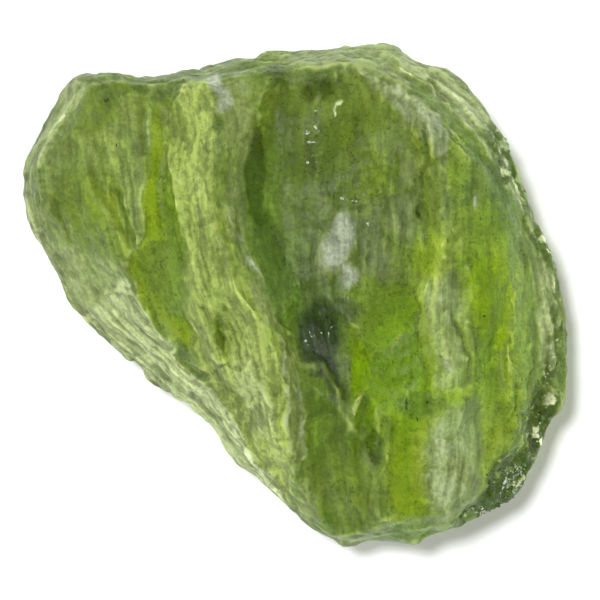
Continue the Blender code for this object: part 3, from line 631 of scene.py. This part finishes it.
finishes = {
    "green": ((0.31, 0.37, 0.075), 0.88, 0.34, 0.50),
    "olive": ((0.78, 0.83, 0.18), 0.94, 0.30, 0.50),
    "bright": ((0.61, 0.68, 0.20), 0.75, 0.38, 0.80),
    "clear": ((0.84, 0.83, 0.11), 0.98, 0.30, 0.15),
    "pale": ((0.58, 0.63, 0.34), 0.60, 0.42, 0.85),
    "grey": ((0.48, 0.50, 0.24), 0.72, 0.40, 0.70),
    "mist": ((0.42, 0.48, 0.25), 0.68, 0.44, 0.60),
    # frosted haze and clouds of the glass, and also painted glints and painted highlight lines on edges
    "hazeAndGlint": ((0.50, 0.53, 0.42), 0.50, 0.50, 0.50),
    # painted shade: dark green in hollows, pits, grooves, cracks, broken facets and on walls turned from
    # the light
    "paintedShade": ((0.105, 0.125, 0.028), 0.92, 0.28, 0.50),
    # painted shade: near black in the deep pit and in the dark hollow of the scoop
    "paintedBlackShade": ((0.08, 0.09, 0.08), 0.80, 0.30, 0.80),
    # painted highlight: glints on the chipped rim, the steps, the corner and the bevel
    "gleam": ((0.88, 0.94, 0.62), 0.20, 0.25, 0.80),
}

# A noise is given as scale, detail, roughness and twist, and a light as (from, from, to, to): what the
# noise's range turns into
glass = dict(
    bodyFinish=((0.43, 0.485, 0.18), 0.88, 0.32, 0.65),
    bodyColour=(0.803, 0.916, 0.02),
    bodyDensity=318.0,
    ior=1.49,
    specularLevel=0.35,
    specularTint=(0.35, 0.35, 0.35),     # set by comparison: the full share laid a grey veil on the scoop
    edgeGain=0.5,
    fibreStretch=(1.0, 0.08, 0.5),
    fibres=(1.5, 5.0, 0.6, 0.25),
    fineFibres=(4.5, 4.0, 0.6, 0.25),
    blotches=(0.9, 8.0, 0.68, 0.8),
    grain=(5.0, 5.0, 0.75, 0.5),
    # The edges of patches follow fibres and blotches in these shares, by this much
    patchFibres=0.35,
    patchBlotches=0.65,
    patchRagged=1.6,
    patchEdge=(0.12, 0.88),
    fibreLight=(0.34, 0.66, 0.38, 1.62),
    # painted shade in grooves, lighter worn edges
    grooveShadeAndEdgeWear=(-0.6, 0.6, 0.45, 1.5),
    grainLight=(0.3, 0.7, 0.70, 1.30),
    blotchLight=(0.3, 0.7, 0.62, 1.38),
    mostLight=1.6,
    edgePasses=(0.1, 0.8, 1.0, 0.7),
    speckPasses=(0, 1, 1.0, 0.2),
    grainDull=(0.3, 0.7, -0.06, 0.08),
    speckCut=(0.78, 0.84),
    speckGain=0.25,
    whiteScale=4.2,
    whiteSpeck=(0.60, 0.65, 0.52),
    darkScale=3.6,
    darkStretch=(1, 0.6, 1),
    darkSpeck=(0.012, 0.030, 0.004),
    bump=dict(strength=0.8, depth=0.05, fibres=1.4, grain=0.6),
)


def addNode(tree, kind, **settings):
    node = tree.nodes.new(kind)
    for key, value in settings.items():
        setattr(node, key, value)
    return node


def readShare(tree, name):
    return addNode(tree, "ShaderNodeAttribute", attribute_name=name).outputs["Fac"]


def combine(tree, operation, first, second):
    node = addNode(tree, "ShaderNodeMath", operation=operation)
    for socket, value in zip(node.inputs, (first, second)):
        if isinstance(value, (int, float)):
            socket.default_value = value
        else:
            tree.links.new(value, socket)
    return node.outputs[0]


def spread(tree, value, fromLow, fromHigh, toLow, toHigh):
    node = addNode(tree, "ShaderNodeMapRange", interpolation_type="SMOOTHSTEP")
    tree.links.new(value, node.inputs["Value"])
    node.inputs["From Min"].default_value = fromLow
    node.inputs["From Max"].default_value = fromHigh
    node.inputs["To Min"].default_value = toLow
    node.inputs["To Max"].default_value = toHigh
    return node.outputs["Result"]


def blendColours(tree, share, first, second):
    node = addNode(tree, "ShaderNodeMix", data_type="RGBA", blend_type="MIX", clamp_factor=True)
    sockets = node.inputs["Factor"], node.inputs[6], node.inputs[7]
    for socket, value in zip(sockets, (share, first, second)):
        if isinstance(value, (int, float)):
            socket.default_value = value
        elif isinstance(value, tuple):
            socket.default_value = (*value, 1.0)
        else:
            tree.links.new(value, socket)
    return node.outputs[2]


def stretched(tree, vector, stretch):
    mapping = addNode(tree, "ShaderNodeMapping")
    mapping.inputs["Scale"].default_value = stretch
    tree.links.new(vector, mapping.inputs["Vector"])
    return mapping.outputs["Vector"]


def cloudy(tree, vector, scale, detail, roughness, twist):
    node = addNode(tree, "ShaderNodeTexNoise")
    node.inputs["Distortion"].default_value = twist
    node.inputs["Scale"].default_value = scale
    node.inputs["Detail"].default_value = detail
    node.inputs["Roughness"].default_value = roughness
    tree.links.new(vector, node.inputs["Vector"])
    return node.outputs["Fac"]


def specks(tree, vector, scale, share):
    # Small uneven specks: 1 in the middle of one, 0 away from it, and more of them for a larger share
    more = combine(tree, "MULTIPLY", share, glass["speckGain"])
    dots = combine(tree, "ADD", cloudy(tree, vector, scale, 3.0, 0.6, 1.0), more)
    return spread(tree, dots, *glass["speckCut"], 0, 1)


def mossGlass():
    material = bpy.data.materials.new("mossGreenGlass")
    material.use_nodes = True
    tree = material.node_tree
    shader = tree.nodes["Principled BSDF"]
    output = tree.nodes["Material Output"]
    flow = addNode(tree, "ShaderNodeAttribute", attribute_name="flow").outputs["Vector"]
    rim = addNode(tree, "ShaderNodeAttribute", attribute_name="rim").outputs["Vector"]
    place = stretched(tree, addNode(tree, "ShaderNodeTexCoord").outputs["Object"], (1000, 1000, 1000))
    rimShare = readShare(tree, "rimShare")

    # Fibres run along the flow lines, and round the stone on its rim
    def fibres(looks):
        along = cloudy(tree, stretched(tree, flow, glass["fibreStretch"]), *looks)
        around = cloudy(tree, stretched(tree, rim, glass["fibreStretch"]), *looks)
        mix = addNode(tree, "ShaderNodeMix")
        tree.links.new(rimShare, mix.inputs["Factor"])
        tree.links.new(along, mix.inputs[2])
        tree.links.new(around, mix.inputs[3])
        return mix.outputs[0]

    def weighted(first, firstShare, second, secondShare):
        return combine(tree, "ADD", combine(tree, "MULTIPLY", first, firstShare),
                       combine(tree, "MULTIPLY", second, secondShare))

    streaks = fibres(glass["fibres"])
    fineStreaks = fibres(glass["fineFibres"])
    blotches = cloudy(tree, place, *glass["blotches"])
    grain = cloudy(tree, place, *glass["grain"])
    ragged = weighted(streaks, glass["patchFibres"], blotches, glass["patchBlotches"])
    ragged = combine(tree, "MULTIPLY", combine(tree, "SUBTRACT", ragged, 0.5), glass["patchRagged"])

    colour = glass["bodyFinish"][0]
    for kind, (tint, *_) in finishes.items():
        share = readShare(tree, kind)
        uneven = combine(tree, "MULTIPLY", ragged, spread(tree, share, 0.0, 0.25, 0, 1))
        share = spread(tree, combine(tree, "ADD", share, uneven), *glass["patchEdge"], 0, 1)
        colour = blendColours(tree, share, colour, tint)

    fibre = readShare(tree, "fibre")
    lit = spread(tree, weighted(streaks, 0.5, fineStreaks, 0.5), *glass["fibreLight"])
    edge = readShare(tree, "edge")
    # painted shade in grooves, and raised edges lighter as worn, frosted skin
    lit = combine(tree, "MULTIPLY", lit, spread(tree, edge, *glass["grooveShadeAndEdgeWear"]))
    lit = combine(tree, "ADD", 1.0, combine(tree, "MULTIPLY", combine(tree, "SUBTRACT", lit, 1.0), fibre))
    lit = combine(tree, "MULTIPLY", lit, spread(tree, grain, *glass["grainLight"]))
    lit = combine(tree, "MULTIPLY", lit, spread(tree, blotches, *glass["blotchLight"]))
    lit = combine(tree, "MINIMUM", lit, glass["mostLight"])
    shade = addNode(tree, "ShaderNodeVectorMath", operation="SCALE")
    tree.links.new(colour, shade.inputs[0])
    tree.links.new(lit, shade.inputs["Scale"])
    colour = shade.outputs["Vector"]
    # white specks of the glass, and painted glints where they lie on the chipped rim and the broken corner
    whiteDots = specks(tree, place, glass["whiteScale"], readShare(tree, "whiteSpecks"))
    colour = blendColours(tree, whiteDots, colour, glass["whiteSpeck"])
    longPlace = stretched(tree, place, glass["darkStretch"])
    darkDots = specks(tree, longPlace, glass["darkScale"], readShare(tree, "darkSpecks"))
    colour = blendColours(tree, darkDots, colour, glass["darkSpeck"])
    tree.links.new(colour, shader.inputs["Base Color"])

    # Light passes where the skin is clear, and is scattered where it is frosted
    passes = combine(tree, "MULTIPLY", readShare(tree, "passes"), spread(tree, edge, *glass["edgePasses"]))
    passes = combine(tree, "MULTIPLY", passes, spread(tree, whiteDots, *glass["speckPasses"]))
    tree.links.new(passes, shader.inputs["Transmission Weight"])
    dull = combine(tree, "ADD", readShare(tree, "dull"), spread(tree, grain, *glass["grainDull"]))
    tree.links.new(dull, shader.inputs["Roughness"])

    bump = addNode(tree, "ShaderNodeBump")
    relief = glass["bump"]
    bump.inputs["Strength"].default_value = relief["strength"]
    bump.inputs["Distance"].default_value = relief["depth"] * mm
    tree.links.new(weighted(fineStreaks, relief["fibres"], grain, relief["grain"]), bump.inputs["Height"])
    tree.links.new(bump.outputs["Normal"], shader.inputs["Normal"])

    shader.inputs["IOR"].default_value = glass["ior"]
    shader.inputs["Specular IOR Level"].default_value = glass["specularLevel"]
    shader.inputs["Specular Tint"].default_value = (*glass["specularTint"], 1.0)
    body = addNode(tree, "ShaderNodeVolumeAbsorption")
    body.inputs["Color"].default_value = (*glass["bodyColour"], 1.0)
    body.inputs["Density"].default_value = glass["bodyDensity"]
    tree.links.new(body.outputs["Volume"], output.inputs["Volume"])
    return material


# The floor, the light and the camera

studio = dict(
    floorSize=0.9,
    floorGap=0.04,        # a hair of air between the stone and the floor
    floorColour=(0.93, 0.93, 0.935),
    skyColour=(1.0, 1.0, 1.0),
    skyStrength=1.6,
    skyTop=0.12,          # the room is darker straight above, so the glass isn't veiled by its reflection
    skyFade=(0.25, 0.75),
    # Lamps: direction they shine from as (turn from +X, height above the floor), distance, size, power
    lamps={
        "key": ((138, 77), 0.60, 0.09, 2.9),
        "side": ((165, 38), 0.60, 0.35, 0.65),
    },
)


def makeFloor():
    bm = bmesh.new()
    bmesh.ops.create_grid(bm, x_segments=2, y_segments=2, size=studio["floorSize"] / 2)
    bmesh.ops.translate(bm, verts=bm.verts, vec=(0, 0, -studio["floorGap"] * mm))
    mesh = bpy.data.meshes.new("floor")
    bm.to_mesh(mesh)
    bm.free()
    floor = bpy.data.objects.new("floor", mesh)
    bpy.context.scene.collection.objects.link(floor)
    material = bpy.data.materials.new("paleFloor")
    material.use_nodes = True
    shader = material.node_tree.nodes["Principled BSDF"]
    shader.inputs["Base Color"].default_value = (*studio["floorColour"], 1.0)
    shader.inputs["Roughness"].default_value = 0.9
    mesh.materials.append(material)
    return floor


def makeLight():
    world = bpy.data.worlds.new("softRoom")
    world.use_nodes = True
    tree = world.node_tree
    sky = tree.nodes["Background"]
    sky.inputs["Color"].default_value = (*studio["skyColour"], 1.0)
    direction = addNode(tree, "ShaderNodeTexCoord").outputs["Generated"]
    rise = addNode(tree, "ShaderNodeSeparateXYZ")
    tree.links.new(direction, rise.inputs["Vector"])
    strengths = studio["skyStrength"], studio["skyTop"]
    strength = spread(tree, rise.outputs["Z"], *studio["skyFade"], *strengths)
    tree.links.new(strength, sky.inputs["Strength"])
    bpy.context.scene.world = world
    for name, ((turn, rise), distance, size, power) in studio["lamps"].items():
        lamp = bpy.data.lights.new(name, "AREA")
        lamp.shape = "DISK"
        lamp.size = size
        lamp.energy = power
        holder = bpy.data.objects.new(name, lamp)
        holder.visible_glossy = False     # no lamp shows as a highlight
        bpy.context.scene.collection.objects.link(holder)
        a, e = math.radians(turn), math.radians(rise)
        towards = Vector((math.cos(a) * math.cos(e), math.sin(a) * math.cos(e), math.sin(e)))
        holder.location = towards * distance
        holder.rotation_euler = towards.to_track_quat("Z", "Y").to_euler()


camera = dict(
    lens=200.0,
    distance=0.1605,      # from the lens to the stone's widest outline
    waist=4.9,
    middle=(0.217, -0.241),
)


def makeCamera():
    data = bpy.data.cameras.new("overhead")
    data.lens = camera["lens"]
    data.sensor_width = 36.0
    data.clip_start = 0.005
    holder = bpy.data.objects.new("overhead", data)
    bpy.context.scene.collection.objects.link(holder)
    x, y = camera["middle"]
    holder.location = (x * mm, y * mm, camera["distance"] + camera["waist"] * mm)
    bpy.context.scene.camera = holder


piece = dividedStone(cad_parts["moldavite"])
print("stone divided:", len(piece.data.polygons), "faces")
carve(piece)
print("stone carved")
paint(piece)
piece.data.materials.clear()
piece.data.materials.append(mossGlass())
print("glass painted")
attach(piece, "root")
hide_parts("moldavite")

makeFloor()
makeLight()
makeCamera()
bpy.context.scene.view_settings.view_transform = "Standard"
print("floor, light and camera set")
